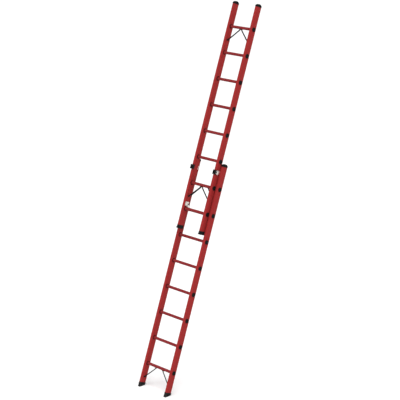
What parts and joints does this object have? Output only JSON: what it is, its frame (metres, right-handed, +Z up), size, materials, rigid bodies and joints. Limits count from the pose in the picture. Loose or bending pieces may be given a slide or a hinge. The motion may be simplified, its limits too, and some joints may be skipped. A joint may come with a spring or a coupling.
{
  "type": "extension ladder",
  "caption": "Two-section push-up ladder leaning as in use: a narrower fly section slides up the front of the base and hangs on swinging hooks.",
  "frame": {"origin": "on the floor, half-way between the two soles, under the base section's mid-plane", "axes": "+X across the rungs to the climber's right, +Y from the climber towards the wall that the ladder leans on, +Z up"},
  "size_m": [0.429, 1.44, 3.9272],
  "materials": {
    "stile_fibreglass": "red pultruded glass-fibre profile, satin, long fibre streaks",
    "rung_fibreglass": "red fluted glass-fibre tube, satin",
    "collar_plastic": "dark red moulded plastic",
    "black_plastic": "black moulded plastic",
    "foot_rubber": "black rubber",
    "black_steel": "black coated steel rod",
    "bright_metal": "bright galvanised plate",
    "fastener_steel": "zinc-plated"
  },
  "bodies": {
    "base": {"base_stile_left": "stile_fibreglass", "base_stile_right": "stile_fibreglass", "base_rung_1": "rung_fibreglass", "base_rung_2": "rung_fibreglass", "base_rung_3": "rung_fibreglass", "base_rung_4": "rung_fibreglass", "base_rung_5": "rung_fibreglass", "base_rung_6": "rung_fibreglass", "base_rung_7": "rung_fibreglass", "base_rung_8": "rung_fibreglass", "base_rung_collars": "collar_plastic", "base_rung_plugs": "black_plastic", "base_top_cap_left": "black_plastic", "base_top_cap_right": "black_plastic", "foot_shoe_left": "foot_rubber", "foot_shoe_right": "foot_rubber", "foot_rivets": "fastener_steel", "base_bottom_strut_left": "black_steel", "base_bottom_strut_right": "black_steel", "base_top_strut_left": "black_steel", "base_top_strut_right": "black_steel", "base_strut_saddles": "black_steel", "base_strut_fasteners": "fastener_steel", "guide_strap_left": "bright_metal", "guide_strap_right": "bright_metal", "guide_block_left": "black_plastic", "guide_block_right": "black_plastic", "guide_strap_rivets": "fastener_steel", "guide_block_screws": "fastener_steel"},
    "fly": {"fly_stile_left": "stile_fibreglass", "fly_stile_right": "stile_fibreglass", "fly_rung_1": "rung_fibreglass", "fly_rung_2": "rung_fibreglass", "fly_rung_3": "rung_fibreglass", "fly_rung_4": "rung_fibreglass", "fly_rung_5": "rung_fibreglass", "fly_rung_6": "rung_fibreglass", "fly_rung_7": "rung_fibreglass", "fly_rung_8": "rung_fibreglass", "fly_rung_collars": "collar_plastic", "fly_rung_plugs": "black_plastic", "fly_top_cap_left": "black_plastic", "fly_top_cap_right": "black_plastic", "fly_bottom_cap_left": "black_plastic", "fly_bottom_cap_right": "black_plastic", "fly_second_strut_left": "black_steel", "fly_second_strut_right": "black_steel", "fly_top_strut_left": "black_steel", "fly_top_strut_right": "black_steel", "fly_strut_saddles": "black_steel", "fly_strut_fasteners": "fastener_steel", "hook_plate_left": "bright_metal", "hook_plate_right": "bright_metal", "hook_plate_rivets": "fastener_steel", "hook_pins": "fastener_steel"},
    "hook_left": {"hook_left": "bright_metal", "hook_grip_left": "black_plastic"},
    "hook_right": {"hook_right": "bright_metal", "hook_grip_right": "black_plastic"}
  },
  "joints": [
    {"name": "fly_slide", "type": "slide", "parent": "base", "child": "fly", "axis": [0, 0.342, 0.9397], "range_m": [-1.68, 0]},
    {"name": "hook_left_swing", "type": "hinge", "parent": "fly", "child": "hook_left", "pos_m": [-0.14, 0.62825, 1.86351], "axis": [1, 0, 0], "range_deg": [0, 124]},
    {"name": "hook_right_swing", "type": "hinge", "parent": "fly", "child": "hook_right", "pos_m": [0.14, 0.62825, 1.86351], "axis": [1, 0, 0], "range_deg": [0, 124]}
  ]
}
